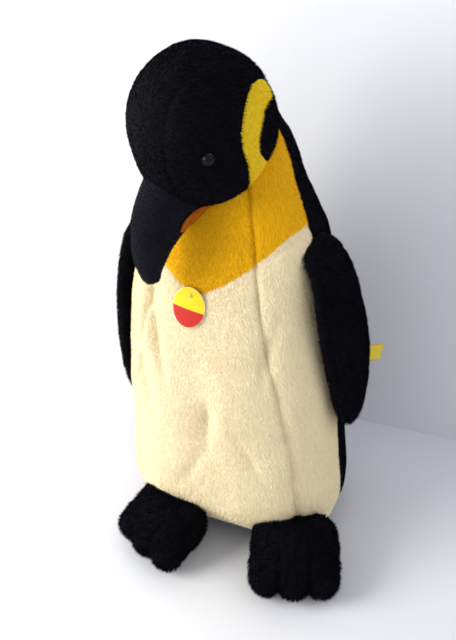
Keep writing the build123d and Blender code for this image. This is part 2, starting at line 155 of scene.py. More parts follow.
class Finish:
    """One material and the one way that its nodes are made."""

    def __init__(self, name, **fixed):
        self.material = bpy.data.materials.new(name)
        self.material.use_nodes = True
        self.nodes = self.material.node_tree.nodes
        self.shader = self.nodes["Principled BSDF"]
        for socket, setting in fixed.items():
            self.shader.inputs[socket.replace("_", " ")].default_value = setting
        self.place = self.node("ShaderNodeTexCoord").outputs["Object"]

    def node(self, kind, settings=None, sockets=None):
        made = self.nodes.new(kind)
        for key, setting in (settings or {}).items():
            setattr(made, key, setting)
        for key, feed in (sockets or {}).items():
            feed = feed.socket if isinstance(feed, Value) else feed
            if isinstance(feed, bpy.types.NodeSocket):
                self.material.node_tree.links.new(feed, made.inputs[key])
            else:
                made.inputs[key].default_value = feed
        return made

    def value(self, kind, settings=None, sockets=None, output=0):
        return Value(self, self.node(kind, settings, sockets).outputs[output])

    def noise(self, scale, detail=2.0, stretch=(1, 1, 1), distortion=0.0):
        mapped = self.node("ShaderNodeMapping", None, {"Vector": self.place, "Scale": stretch})
        sockets = {"Vector": mapped.outputs[0], "Scale": scale, "Detail": detail, "Distortion": distortion}
        return self.value("ShaderNodeTexNoise", None, sockets)

    def mix(self, share, first, second):
        """A colour between two colours."""
        colours = {"data_type": "RGBA", "clamp_factor": True}
        sockets = {0: share, 6: first, 7: second}
        return self.node("ShaderNodeMix", colours, sockets).outputs[2]

    def show(self, **feeds):
        for socket, feed in feeds.items():
            feed = feed.socket if isinstance(feed, Value) else feed
            self.material.node_tree.links.new(feed, self.shader.inputs[socket.replace("_", " ")])
        return self.material

    def bump(self, height, strength, distance):
        sockets = {"Height": height, "Strength": strength, "Distance": distance}
        return self.node("ShaderNodeBump", None, sockets).outputs[0]


def opaque(colour):
    return (*colour, 1.0)


def shade(colour, share):
    return tuple(min(1.0, c * share) for c in colour)


def cloth_under_pile(name, deep, light, sheen):
    """The backing that shows between the tufts: deeper in its own noise, with the nap's streaks."""
    finish = Finish(name, Roughness=0.95, Specular_IOR_Level=0.1, Sheen_Weight=sheen, Sheen_Roughness=0.45)
    patches = finish.noise(14.0, 3.0)
    streaks = finish.noise(420.0, 2.0, (1, 1, 0.25))
    share = (patches * 0.55 + streaks * 0.75).soft_step(0.35, 0.95)
    colour = finish.mix(share, opaque(deep), opaque(light))
    return finish.show(Base_Color=colour, Normal=finish.bump(streaks, 0.6, 0.6 * MM))


def pile_shades(name, colour, spread, sheen, roughness=0.75, gloss=0.12):
    """Plain fibres in shades of one dye: the pile's pattern is in which tuft has which."""
    shades = []
    for index, share in enumerate(spread):
        tuft = Finish(f"{name}_{index + 1}", Roughness=roughness, Sheen_Weight=sheen, Sheen_Roughness=0.4)
        tuft.shader.inputs["Base Color"].default_value = opaque(shade(colour, share))
        tuft.shader.inputs["Specular IOR Level"].default_value = gloss
        shades.append(tuft.material)
    return shades


CREAM = (0.90, 0.78, 0.52)
YELLOW = (0.84, 0.47, 0.006)
EAR_YELLOW = (0.86, 0.62, 0.020)
BLACK = (0.0030, 0.0026, 0.0045)
BEAK_BLUE = (0.0050, 0.0046, 0.0085)

skin_cream = cloth_under_pile("cream_backing", shade(CREAM, 0.82), shade(CREAM, 1.0), 0.1)
skin_yellow = cloth_under_pile("yellow_backing", shade(YELLOW, 0.75), shade(YELLOW, 1.0), 0.05)
skin_ear = cloth_under_pile("ear_backing", shade(EAR_YELLOW, 0.75), shade(EAR_YELLOW, 1.0), 0.05)
skin_black = cloth_under_pile("black_backing", shade(BLACK, 0.5), shade(BLACK, 1.3), 0.0)
pile_cream = pile_shades("cream_pile", CREAM, (0.96, 1.0, 1.03), 0.1)
pile_yellow = pile_shades("yellow_pile", YELLOW, (0.86, 1.0, 1.10), 0.05)
pile_ear = pile_shades("ear_pile", EAR_YELLOW, (0.88, 1.0, 1.08), 0.05)
pile_black = pile_shades("black_pile", BLACK, (0.6, 1.0, 1.9), 0.0, 0.8, 0.02)


def beak_velour():
    """Very short bluish black velour with a faint mottle and worn, lighter high spots."""
    finish = Finish(
        "beak_velour", Roughness=0.85, Specular_IOR_Level=0.15, Sheen_Weight=0.04, Sheen_Roughness=0.4,
    )
    fuzz = finish.noise(900.0, 2.0)
    patches = finish.noise(60.0, 3.0)
    mottle = (fuzz * 0.7 + patches * 0.5).soft_step(0.4, 0.85)
    colour = finish.mix(mottle, opaque(shade(BEAK_BLUE, 0.6)), opaque(shade(BEAK_BLUE, 1.7)))
    return finish.show(Base_Color=colour, Normal=finish.bump(fuzz, 0.5, 0.4 * MM))


def orange_felt():
    finish = Finish("orange_felt", Roughness=0.9, Specular_IOR_Level=0.1)
    fibres = finish.noise(700.0, 3.0, (1, 1, 0.4))
    patches = finish.noise(90.0, 2.0)
    mottle = (fibres * 0.6 + patches * 0.5).soft_step(0.35, 0.8)
    colour = finish.mix(mottle, (0.26, 0.065, 0.001, 1), (0.42, 0.115, 0.002, 1))
    return finish.show(Base_Color=colour, Normal=finish.bump(fibres, 0.6, 0.3 * MM))


def eye_plastic():
    """Glossy black with a thin brown ring near the rim and the odd fine scratch."""
    finish = Finish("eye_plastic", Specular_IOR_Level=0.12, Coat_Weight=0.08, Coat_Roughness=0.06)
    uv = finish.node("ShaderNodeUVMap").outputs[0]
    out = finish.value("ShaderNodeSeparateXYZ", None, {0: uv}, 1)
    ring = out.soft_step(0.60, 0.68) * (1 - out.soft_step(0.80, 0.88))
    scuffs = finish.noise(1500.0, 3.0, (1, 1, 6))
    colour = finish.mix(ring, (0.002, 0.002, 0.002, 1), (0.020, 0.010, 0.005, 1))
    return finish.show(Base_Color=colour, Roughness=scuffs.soft_step(0.3, 0.9) * 0.12 + 0.06)


def tag_card():
    """Coated card printed in two plain colours, with a soft edge wear."""
    finish = Finish("tag_card", Specular_IOR_Level=0.3, Coat_Weight=0.08, Coat_Roughness=0.25)
    uv = finish.node("ShaderNodeUVMap").outputs[0]
    across = finish.value("ShaderNodeSeparateXYZ", None, {0: uv}, 0)
    up = finish.value("ShaderNodeSeparateXYZ", None, {0: uv}, 1)
    grain = finish.noise(900.0, 2.0)
    upper = (up + (grain - 0.5) * 0.004).soft_step(0.452, 0.462)
    printed = finish.mix(upper, (0.50, 0.016, 0.008, 1), (0.76, 0.57, 0.006, 1))
    reach_x = (across - 0.5) * (across - 0.5)
    reach_y = (up - 0.5) * (up - 0.5)
    rim = ((reach_x + reach_y) * 4.0 + (grain - 0.5) * 0.06).soft_step(0.93, 0.99)
    colour = finish.mix(rim * 0.7, printed, (0.80, 0.76, 0.62, 1))
    return finish.show(Base_Color=colour, Roughness=grain * 0.25 + 0.28)


def woven_label():
    """A narrow woven tape: fine crossing yarns."""
    finish = Finish("woven_label", Roughness=0.8, Sheen_Weight=0.2)
    uv = finish.node("ShaderNodeUVMap").outputs[0]
    yarns = []
    for direction, scale in (("X", 12.0), ("Y", 30.0)):
        sockets = {"Vector": uv, "Scale": scale, "Distortion": 0.4}
        yarns.append(finish.value("ShaderNodeTexWave", {"bands_direction": direction}, sockets, 1))
    yarn = yarns[0] * 0.5 + yarns[1] * 0.5
    colour = finish.mix(yarn.soft_step(0.2, 0.8), (0.66, 0.46, 0.006, 1), (0.88, 0.66, 0.015, 1))
    return finish.show(Base_Color=colour, Normal=finish.bump(yarn, 0.7, 0.25 * MM))


def moulded_plastic(name, deep, light, roughness):
    finish = Finish(name, Specular_IOR_Level=0.5)
    cloud = finish.noise(160.0, 2.0)
    colour = finish.mix(cloud.soft_step(0.3, 0.8), opaque(deep), opaque(light))
    return finish.show(Base_Color=colour, Roughness=cloud * 0.2 + roughness)


def room_paint(name):
    finish = Finish(name, Roughness=0.55)
    cloud = finish.noise(3.0, 2.0)
    return finish.show(Base_Color=finish.mix(cloud, (0.73, 0.73, 0.75, 1), (0.77, 0.77, 0.79, 1)))


# ---- Mesh tools --------------------------------------------------------------------------
def add_object(name, mesh):
    made = bpy.data.objects.new(name, mesh)
    bpy.context.scene.collection.objects.link(made)
    return made


def object_from(name, mesh):
    """Turns an edit mesh into an object."""
    data = bpy.data.meshes.new(name)
    mesh.to_mesh(data)
    mesh.free()
    return add_object(name, data)


def turned_profile(name, profile, columns):
    """A solid of revolution round Z from radii and heights in millimetres."""
    rings = []
    for radius, height in profile:
        ring = []
        for c in range(columns):
            angle = 2 * math.pi * c / columns
            ring.append(Vector((radius * math.cos(angle), radius * math.sin(angle), height)) * MM)
        rings.append(ring)
    return bridge_rings(name, rings)


def bridge_rings(name, rings):
    """A tube through rings of equal length, closed by a centre point, with a UV map round and along."""
    mesh = bmesh.new()
    uv = mesh.loops.layers.uv.new("UVMap")
    rows = [[mesh.verts.new(point) for point in ring] for ring in rings]
    count = len(rings[0])
    for k, (low, high) in enumerate(zip(rows, rows[1:])):
        for c in range(count):
            face = mesh.faces.new((low[c], low[(c + 1) % count], high[(c + 1) % count], high[c]))
            corners = ((c, k), (c + 1, k), (c + 1, k + 1), (c, k + 1))
            for loop, (u, v) in zip(face.loops, corners):
                loop[uv].uv = (u / count, v / (len(rings) - 1))
    for row, order in ((rows[0], -1), (rows[-1], 1)):
        centre = mesh.verts.new(sum((v.co for v in row), Vector()) / count)
        for c in range(count):
            pair = (row[c], row[(c + 1) % count])[::order]
            face = mesh.faces.new((*pair, centre))
            for loop in face.loops:
                loop[uv].uv = (c / count, 0.0 if order < 0 else 1.0)
    bmesh.ops.recalc_face_normals(mesh, faces=mesh.faces)
    return object_from(name, mesh)


def rounded_end(last, reach, rows, quarter):
    """Rings that close a tube's last ring in a rounded end that reaches out by a vector."""
    centre = sum(last, Vector()) / len(last)
    rings = []
    for k in range(1, rows):
        angle = math.pi / 2 * k / quarter
        rings.append([centre + (p - centre) * math.cos(angle) + reach * math.sin(angle) for p in last])
    return rings


def apply_modifiers(piece):
    """Replaces the mesh by its evaluated self and drops the modifiers."""
    depsgraph = bpy.context.evaluated_depsgraph_get()
    final = bpy.data.meshes.new_from_object(piece.evaluated_get(depsgraph))
    old = piece.data
    piece.modifiers.clear()
    piece.data = final
    bpy.data.meshes.remove(old)
    return piece


def subdivide(piece):
    modifier = piece.modifiers.new("finer", "SUBSURF")
    modifier.levels = modifier.render_levels = 1
    return apply_modifiers(piece)


def sculpt(piece, depth_at):
    """Moves each point along its normal by a depth worked out from its place."""
    moves = [(vertex, vertex.normal.copy(), depth_at(vertex.co)) for vertex in piece.data.vertices]
    for vertex, normal, depth in moves:
        vertex.co += normal * depth
    piece.data.update()


def shade_smooth(piece):
    piece.data.polygons.foreach_set("use_smooth", [True] * len(piece.data.polygons))


def bell(distance, width):
    """1 at no distance, fading to nothing past the width."""
    return math.exp(-((distance / width) ** 2))


def lumps(place, size, seed):
    return noise.noise(place / size + Vector((seed, seed * 1.7, -seed)))


def split_by_panel(piece, names):
    """Divides a mesh into one object for each panel number in its face attribute."""
    numbers = np.zeros(len(piece.data.polygons), np.int32)
    piece.data.polygons.foreach_get("material_index", numbers)
    panels = {}
    for number, name in enumerate(names):
        mesh = bmesh.new()
        mesh.from_mesh(piece.data)
        others = [face for face in mesh.faces if face.material_index != number]
        bmesh.ops.delete(mesh, geom=others, context="FACES")
        for face in mesh.faces:
            face.material_index = 0
            face.smooth = True
        panels[name] = object_from(name, mesh)
    old = piece.data
    bpy.data.objects.remove(piece)
    bpy.data.meshes.remove(old)
    return panels


def paint(piece, *materials):
    piece.data.materials.clear()
    for material in materials:
        piece.data.materials.append(material)


# ---- Pile --------------------------------------------------------------------------------
def pile_tree():
    """Tufts on every face: leaning along the nap, uneven in length, in three shades."""
    tree = bpy.data.node_groups.new("grow_pile", "GeometryNodeTree")
    interface = tree.interface
    interface.new_socket("Geometry", in_out="INPUT", socket_type="NodeSocketGeometry")
    for name, kind, start in (
        ("Spacing", "NodeSocketFloat", 0.0016),
        ("Length", "NodeSocketFloat", 0.005),
        ("Width", "NodeSocketFloat", 0.0007),
        ("Lean", "NodeSocketFloat", 0.6),
        ("Untidy", "NodeSocketFloat", 0.25),
        ("Nap", "NodeSocketVector", (0.0, 0.0, -1.0)),
        ("Seed", "NodeSocketInt", 1),
        ("Dark", "NodeSocketMaterial", None),
        ("Middle", "NodeSocketMaterial", None),
        ("Light", "NodeSocketMaterial", None),
    ):
        socket = interface.new_socket(name, in_out="INPUT", socket_type=kind)
        if start is not None:
            socket.default_value = start
    interface.new_socket("Geometry", in_out="OUTPUT", socket_type="NodeSocketGeometry")
    nodes, links = tree.nodes, tree.links

    def add(kind, settings=None, feeds=None):
        made = nodes.new(kind)
        for key, setting in (settings or {}).items():
            setattr(made, key, setting)
        for key, feed in (feeds or {}).items():
            if isinstance(feed, bpy.types.NodeSocket):
                links.new(feed, made.inputs[key])
            else:
                made.inputs[key].default_value = feed
        return made

    def sum_of(operation, first, second):
        return add("ShaderNodeMath", {"operation": operation}, {0: first, 1: second}).outputs[0]

    def random(kind, feeds):
        return add("FunctionNodeRandomValue", {"data_type": kind}, {**feeds, "Seed": given["Seed"]})

    def scaled(vector, share):
        return add("ShaderNodeVectorMath", {"operation": "SCALE"}, {0: vector, "Scale": share}).outputs[0]

    def together(first, second):
        return add("ShaderNodeVectorMath", {"operation": "ADD"}, {0: first, 1: second}).outputs[0]

    given = add("NodeGroupInput").outputs
    gap = given["Spacing"]
    points = add(
        "GeometryNodeDistributePointsOnFaces",
        {"distribute_method": "POISSON"},
        {
            "Mesh": given["Geometry"], "Distance Min": sum_of("MULTIPLY", gap, 0.62),
            "Density Max": sum_of("DIVIDE", 0.9, sum_of("MULTIPLY", gap, gap)), "Seed": given["Seed"],
        },
    )
    jitter = random("FLOAT_VECTOR", {"Min": (-1, -1, -1), "Max": (1, 1, 1)}).outputs["Value"]
    way = together(points.outputs["Normal"], scaled(given["Nap"], given["Lean"]))
    way = together(way, scaled(jitter, given["Untidy"]))
    turned = add("FunctionNodeAlignRotationToVector", {"axis": "Z"}, {"Vector": way})
    tuft = add("GeometryNodeMeshCone", {"fill_type": "NONE"}, {
        "Vertices": 3, "Side Segments": 1, "Radius Top": 0.0,
        "Radius Bottom": given["Width"], "Depth": given["Length"],
    })
    size = random("FLOAT", {2: 0.65, 3: 1.15})
    placed = add("GeometryNodeInstanceOnPoints", None, {
        "Points": points.outputs["Points"], "Instance": tuft.outputs["Mesh"],
        "Rotation": turned.outputs[0], "Scale": size.outputs[1],
    })
    spot = add("GeometryNodeInputPosition").outputs[0]
    cloud = add("ShaderNodeTexNoise", None, {"Vector": spot, "Scale": 45.0, "Detail": 3.0})
    chance = random("FLOAT", {2: -0.5, 3: 0.5})
    tone = sum_of("ADD", cloud.outputs[0], chance.outputs[1])
    on_tufts = {"data_type": "FLOAT", "domain": "INSTANCE"}
    stored = add(
        "GeometryNodeStoreNamedAttribute", on_tufts,
        {"Geometry": placed.outputs[0], "Name": "tone", "Value": tone},
    )
    dyed = add("GeometryNodeRealizeInstances", None, {"Geometry": stored.outputs[0]})
    tone_back = add("GeometryNodeInputNamedAttribute", {"data_type": "FLOAT"}, {"Name": "tone"}).outputs[0]
    shares = (("Middle", None, 0), ("Dark", "LESS_THAN", 0.32), ("Light", "GREATER_THAN", 0.68))
    for name, operation, limit in shares:
        feeds = {"Geometry": dyed.outputs[0], "Material": given[name]}
        if operation:
            chosen = add("FunctionNodeCompare", {"operation": operation}, {0: tone_back, 1: limit})
            feeds["Selection"] = chosen.outputs[0]
        dyed = add("GeometryNodeSetMaterial", None, feeds)
    add("NodeGroupOutput", None, {0: dyed.outputs[0]})
    return tree


grow_pile = pile_tree()
pile_seed = 0


def with_pile(skin, shades, spacing, length, width, lean=0.7, untidy=0.3, nap=(0, 0, -1)):
    """Grows the pile of one skin as a piece of its own."""
    global pile_seed
    pile_seed += 1
    modifier = skin.modifiers.new("pile", "NODES")
    modifier.node_group = grow_pile
    sockets = grow_pile.interface.items_tree
    names = {socket.name: socket.identifier for socket in sockets if socket.in_out == "INPUT"}
    settings = {
        "Spacing": spacing, "Length": length, "Width": width, "Lean": lean, "Untidy": untidy,
        "Nap": nap, "Seed": pile_seed, "Dark": shades[0], "Middle": shades[1], "Light": shades[2],
    }
    for name, setting in settings.items():
        modifier[names[name]] = setting
    depsgraph = bpy.context.evaluated_depsgraph_get()
    grown = bpy.data.meshes.new_from_object(skin.evaluated_get(depsgraph))
    skin.modifiers.clear()
    return add_object(f"{skin.name}_pile", grown)


def finish_skin(skin, material, shades, body, replaces, slot, fill=0.8, blend=None, **pile):
    """Materials and pile; the skin and its pile ride on its body, unless a blend is given, when their place
    is only written into their meshes.
    """
    paint(skin, material)
    grown = with_pile(skin, shades, **pile)
    for piece in (skin, grown):
        if piece is None:
            continue
        if blend:
            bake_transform(piece)
        else:
            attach(piece, body)
    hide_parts(*replaces)


# ---- Torso and neck ----------------------------------------------------------------------
# Height, half width, front depth and back depth, as shares of the widest.
TORSO_OUTLINE = np.array((
    (0.000, 0.860, 0.50, 0.66),
    (0.025, 0.950, 0.62, 0.80),
    (0.063, 1.005, 0.76, 0.90),
    (0.104, 1.010, 0.87, 0.96),
    (0.167, 0.975, 0.95, 0.99),
    (0.271, 0.935, 1.00, 1.00),
    (0.417, 0.913, 0.98, 0.97),
    (0.563, 0.860, 0.92, 0.90),
    (0.688, 0.790, 0.82, 0.81),
    (0.771, 0.755, 0.72, 0.70),
    (0.833, 0.655, 0.62, 0.55),
    (0.896, 0.540, 0.54, 0.47),
    (0.958, 0.480, 0.47, 0.42),
    (1.000, 0.410, 0.41, 0.33),
    (1.042, 0.290, 0.33, 0.22),
    (1.073, 0.160, 0.22, 0.10),
))
torso_height = 0.480
skin_inset = 1.5 * MM
belly_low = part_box("belly_centre_panel")[0]
back_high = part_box("back_panel_left")[1]
torso_half_width = back_high.x - skin_inset
torso_front = -belly_low.y - skin_inset
torso_back = back_high.y - skin_inset
oval_power = 3.0
neck_pivot = Vector(joints["head_nod"]["pos_m"])
nod_axis = Vector(joints["head_nod"]["axis"])
head_turn = math.atan2(nod_axis.y, nod_axis.x)
head_nod = math.radians(24.0)
head_offset = Vector((8.0, -8.0, 83.0)) * MM
head_frame = (
    Matrix.Translation(neck_pivot)
    @ Matrix.Rotation(head_turn, 4, "Z")
    @ Matrix.Rotation(head_nod, 4, "X")
    @ Matrix.Translation(head_offset)
)
head_radii = Vector((61.0, 70.0, 76.0)) * MM - Vector((1, 1, 1)) * skin_inset
throat_low = 338.0 * MM
throat_rise = 60.0 * MM
# Height, depth of the seam between cream and black, and half width of the middle panels.
SEAMS = np.array((
    (0.000, 0.012, 0.098),
    (0.067, 0.014, 0.097),
    (0.163, 0.024, 0.091),
    (0.230, 0.016, 0.080),
    (0.302, 0.000, 0.064),
    (0.384, -0.011, 0.047),
    (0.430, -0.003, 0.037),
    (0.480, 0.002, 0.026),
    (0.520, 0.002, 0.020),
))
base_seam = 20.0 * MM
neck_base = neck_pivot.z
neck_top = 0.512
row_step = 4.6 * MM
COLUMN_PARTS = (38, 16, 22)      # back centre to side, side to belly seam, belly seam to front


def side_lean(height):
    """The soft body sags a little towards its right below the shoulders."""
    return -4.0 * MM * float(np.interp(height, (0.0, 0.04, 0.30, 0.40), (0.6, 1.0, 1.0, 0.0)))


def side_seam_depth(height):
    return float(np.interp(height, SEAMS[:, 0], SEAMS[:, 1]))


def throat_edge(x, half_width):
    """Height of the yellow throat's lower edge: a soft V."""
    across = min(1.0, abs(x + 6.0 * MM) / half_width)
    soft = 0.08
    return throat_low + throat_rise * (math.hypot(across, soft) - soft) / (math.hypot(1.0, soft) - soft)


def torso_size(height, column):
    """One column of the outline at a height, with its corners rounded off."""
    reach = 0.022 * min(1.0, height / torso_height / 0.05)
    shares = [height / torso_height + reach * step / 3 for step in range(-3, 4)]
    return float(np.mean(np.interp(shares, TORSO_OUTLINE[:, 0], TORSO_OUTLINE[:, column])))


def belly_seam_x(height):
    return float(np.interp(height, SEAMS[:, 0], SEAMS[:, 2]))


def oval_ring(height):
    """The torso's outline at a height, with its seams always at the same column numbers."""
    wide = torso_size(height, 1) * torso_half_width
    front = torso_size(height, 2) * torso_front
    back = torso_size(height, 3) * torso_back
    seam_share = min(0.98, belly_seam_x(height) / wide)
    seam_angle = -math.acos(seam_share ** (oval_power / 2))
    seam_depth = side_seam_depth(height)
    lean_back = min(0.95, abs(seam_depth) / (back if seam_depth > 0 else front)) ** (oval_power / 2)
    side_angle = math.copysign(math.asin(lean_back), seam_depth)
    corners = (math.pi / 2, side_angle, seam_angle, -math.pi / 2)
    half = []
    for start, end, count in zip(corners, corners[1:], COLUMN_PARTS):
        angles = np.linspace(start, end, 120)
        x = np.abs(np.cos(angles)) ** (2 / oval_power) * wide
        y = np.abs(np.sin(angles)) ** (2 / oval_power) * np.where(angles > 0, back, -front)
        run = np.concatenate(([0], np.cumsum(np.hypot(np.diff(x), np.diff(y)))))
        wanted = np.linspace(0, run[-1], count + 1)[:-1]
        half += list(zip(np.interp(wanted, run, x), np.interp(wanted, run, y)))
    half.append((0.0, -front))
    other = [(-x, y) for x, y in half[1:-1]][::-1]
    return np.array(half + other)


def build_torso_grid():
    """Rows from the base seam to the level where the neck begins, with one row on the throat's edge."""
    levels = np.arange(0.0, neck_top + 4 * MM, 2 * MM)
    table = np.stack([oval_ring(level) for level in levels])
    columns = table.shape[1]
    side, seam = COLUMN_PARTS[0], COLUMN_PARTS[0] + COLUMN_PARTS[1]
    at_throat = table[int(360 * MM / (2 * MM))]
    half = at_throat[side][0]
    throat_height = np.array([throat_edge(x, half) for x in at_throat[:, 0]])
    in_back = np.array([c < side or c > columns - side for c in range(columns)])
    throat_height[in_back] = throat_low + throat_rise
    lower_rows = round((throat_low + throat_rise / 2 - base_seam) / row_step)
    upper_rows = round((neck_base - throat_low - throat_rise / 2) / row_step)
    neck_rows = round((neck_top - neck_base) / row_step)
    torso_rows = lower_rows + upper_rows
    rings = []
    for k in range(torso_rows + neck_rows + 1):
        if k <= lower_rows:
            height = base_seam + (throat_height - base_seam) * k / lower_rows
        elif k <= torso_rows:
            height = throat_height + (neck_base - throat_height) * (k - lower_rows) / upper_rows
        else:
            height = np.full(columns, neck_base + (neck_top - neck_base) * (k - torso_rows) / neck_rows)
        places = [np.interp(height[c], levels, table[:, c, i]) for c in range(columns) for i in (0, 1)]
        ring = np.array(places).reshape(columns, 2)
        rings.append([
            Vector((ring[c][0] + side_lean(height[c]), ring[c][1], height[c])) for c in range(columns)
        ])
    return rings, lower_rows, torso_rows, side, seam


def base_rings():
    """From the base seam round the lower edge and in to the middle of the flat base."""
    rings = []
    for k in range(1, 7):
        height = base_seam * (1 - k / 6)
        ring = oval_ring(height)
        rings.append([Vector((x + side_lean(height), y, height)) for x, y in ring])
    for share in (0.9, 0.7, 0.45, 0.2):
        rings.append([Vector((p.x * share, p.y * share, 0.0)) for p in rings[5]])
    return rings


TORSO_PANELS = (
    "belly_centre", "belly_left", "belly_right",
    "throat_centre", "throat_left", "throat_right",
    "back_left", "back_right", "base_cloth",
    "neck_throat", "neck_nape",
)


def panel_of(row, column, lower_rows, torso_rows, side, seam, columns):
    """The number of the panel that a face of the torso grid belongs to."""
    if row < 0:
        return 8
    in_back = column < side or column >= columns - side
    if row >= torso_rows:
        return 10 if in_back else 9
    if in_back:
        return 6 if column < side else 7
    shift = 0 if row < lower_rows else 3
    if column < seam:
        return 1 + shift
    if column >= columns - seam:
        return 2 + shift
    return 0 + shift


def torso_depth(place):
    """Grooves along the seams, soft folds, and the lumps of hand filling."""
    x, y, z = place.x - side_lean(place.z), place.y, place.z
    depth = 1.6 * MM * lumps(place, 0.075, 3.0) + 0.8 * MM * lumps(place, 0.028, 8.0)
    depth += 0.35 * MM * lumps(place, 0.010, 5.0)
    if y < side_seam_depth(z):
        off_seam = abs(abs(x) - belly_seam_x(z))
        depth -= 4.2 * MM * bell(off_seam, 3.2 * MM)
        depth -= 1.8 * MM * bell(off_seam, 15 * MM)
        pucker = math.sin(z / (8.5 * MM) + 2.0 * lumps(place, 0.03, 1.0))
        depth -= 1.0 * MM * bell(off_seam, 11 * MM) * pucker
        edge = throat_edge(x, 0.77 * torso_half_width)
        depth -= 1.5 * MM * bell(z - edge, 3.2 * MM)
    else:
        depth -= 2.2 * MM * bell(x, 3.4 * MM)
    depth -= 1.8 * MM * bell(y - side_seam_depth(z), 3.4 * MM)
    for spot, size, drop in FOLDS:
        reach = Vector(((x - spot[0]) / size[0], (z - spot[2]) / size[1], (y - spot[1]) / 0.06))
        bend = spot[3] * (z - spot[2])
        reach.x = (x - spot[0] - bend) / size[0]
        depth += drop * math.exp(-reach.length_squared)
    return depth


# Place (x, y, z, slant), half size across and up, and depth: the dimple in the belly, the
# slack folds beside the right seam, and the fuller places between them.
FOLDS = (
    ((0.008, -0.097, 0.192, 0.10), (0.009, 0.022), -7.0 * MM),
    ((0.030, -0.097, 0.215, 0.0), (0.022, 0.045), 4.0 * MM),
    ((-0.030, -0.097, 0.190, 0.0), (0.024, 0.050), 3.5 * MM),
    ((-0.052, -0.090, 0.290, -0.25), (0.006, 0.042), -6.5 * MM),
    ((-0.070, -0.085, 0.285, -0.25), (0.010, 0.036), 3.0 * MM),
    ((-0.072, -0.080, 0.225, -0.35), (0.007, 0.034), -6.0 * MM),
    ((0.000, -0.085, 0.300, 0.0), (0.035, 0.035), 2.5 * MM),
    ((0.068, -0.080, 0.285, 0.15), (0.007, 0.040), -4.0 * MM),
    ((0.080, -0.070, 0.110, 0.0), (0.030, 0.040), 3.0 * MM),
    ((-0.060, -0.080, 0.090, 0.0), (0.040, 0.045), 3.5 * MM),
    ((0.040, -0.090, 0.075, 0.0), (0.035, 0.030), 3.0 * MM),
    ((-0.010, -0.095, 0.130, 0.5), (0.008, 0.030), -2.5 * MM),
    ((0.055, -0.085, 0.150, -0.4), (0.007, 0.030), -3.5 * MM),
)


def make_torso():
    rings, lower_rows, torso_rows, side, seam = build_torso_grid()
    under = base_rings()[::-1]
    whole = bridge_rings("torso_skin", under + rings)
    columns = len(rings[0])
    numbers = []
    for k in range(len(under) + len(rings) - 1):
        for c in range(columns):
            numbers.append(panel_of(k - len(under), c, lower_rows, torso_rows, side, seam, columns))
    numbers += [8] * columns + [10] * columns
    whole.data.polygons.foreach_set("material_index", numbers)
    for _ in TORSO_PANELS:
        whole.data.materials.append(None)
    subdivide(whole)
    sculpt(whole, torso_depth)
    for vertex in whole.data.vertices:
        vertex.co.z = max(vertex.co.z, 0.3 * MM)
    panels = split_by_panel(whole, TORSO_PANELS)
    turn_blend = ("torso", "neck", (0, 0, neck_base - 0.060), (0, 0, neck_base))
    nod_blend = ("neck", "head", neck_pivot + Vector((0, 0, 0.002)), neck_pivot + Vector((0, 0, 0.045)))
    short = dict(spacing=1.3 * MM, length=3.0 * MM, width=0.50 * MM, lean=1.1, untidy=0.24)
    common = dict(body="torso", blend=turn_blend, **short)
    cream = dict(material=skin_cream, shades=pile_cream, slot="cream_plush", **common)
    yellow = dict(material=skin_yellow, shades=pile_yellow, slot="yellow_plush", **common)
    black = dict(material=skin_black, shades=pile_black, slot="black_plush", **common)
    neck = dict(body="neck", blend=nod_blend)
    finish_skin(panels["belly_centre"], replaces=["belly_centre_panel", "body_stuffing"], **cream)
    finish_skin(panels["belly_left"], replaces=["belly_side_left"], **cream)
    finish_skin(panels["belly_right"], replaces=["belly_side_right"], **cream)
    finish_skin(panels["throat_centre"], replaces=["throat_centre_panel"], **yellow)
    finish_skin(panels["throat_left"], replaces=["throat_side_left"], **yellow)
    finish_skin(panels["throat_right"], replaces=["throat_side_right"], **yellow)
    finish_skin(panels["back_left"], replaces=["back_panel_left"], **black)
    finish_skin(panels["back_right"], replaces=["back_panel_right"], **black)
    finish_skin(panels["base_cloth"], replaces=["base_panel"], **dict(black, blend=None, length=1.2 * MM))
    yellow.update(neck)
    black.update(neck)
    finish_skin(panels["neck_throat"], replaces=["neck_throat_panel", "neck_stuffing"], **yellow)
    finish_skin(panels["neck_nape"], replaces=["neck_nape_panel"], **black)


# ---- Head --------------------------------------------------------------------------------
eye_depth, eye_height = -36.0 * MM, 9.0 * MM
crown_half_width = 24.0 * MM
crown_end = -18.0 * MM
# The cheek mark seen from the side: depth and height from the head's middle.
EAR_HOOK = [
    (-9, -62), (-9, -26), (-8, 2), (2, 18), (16, 27), (36, 30), (52, 22), (61, 8),
    (54, -4), (44, 5), (30, 8), (16, 0), (8, -10), (7, -21), (12, -34), (24, -62),
]


def on_head(direction):
    """The point of the plain egg in a direction from its middle."""
    scaled = Vector([along / radius for along, radius in zip(direction, head_radii)])
    return direction / scaled.length


def outline_distance(point, outline):
    """Distance to a closed outline, negative inside it."""
    x, y = point
    inside = False
    nearest = 1.0
    for (x0, y0), (x1, y1) in zip(outline, outline[1:] + outline[:1]):
        run = (x1 - x0, y1 - y0)
        part = ((x - x0) * run[0] + (y - y0) * run[1]) / (run[0] ** 2 + run[1] ** 2)
        part = max(0.0, min(1.0, part))
        nearest = min(nearest, math.hypot(x - x0 - part * run[0], y - y0 - part * run[1]))
        if (y0 > y) != (y1 > y) and x < x0 + (y - y0) / (y1 - y0) * run[0]:
            inside = not inside
    return -nearest if inside else nearest


def rounded_outline(points, rounds=2):
    """Cuts the corners of an outline twice over, so that it reads as a curve."""
    for _ in range(rounds):
        points = [
            (a[0] + (b[0] - a[0]) * part, a[1] + (b[1] - a[1]) * part)
            for a, b in zip(points, points[1:] + points[:1])
            for part in (0.25, 0.75)
        ]
    return points


ear_outline = rounded_outline([(y * MM, z * MM) for y, z in EAR_HOOK])


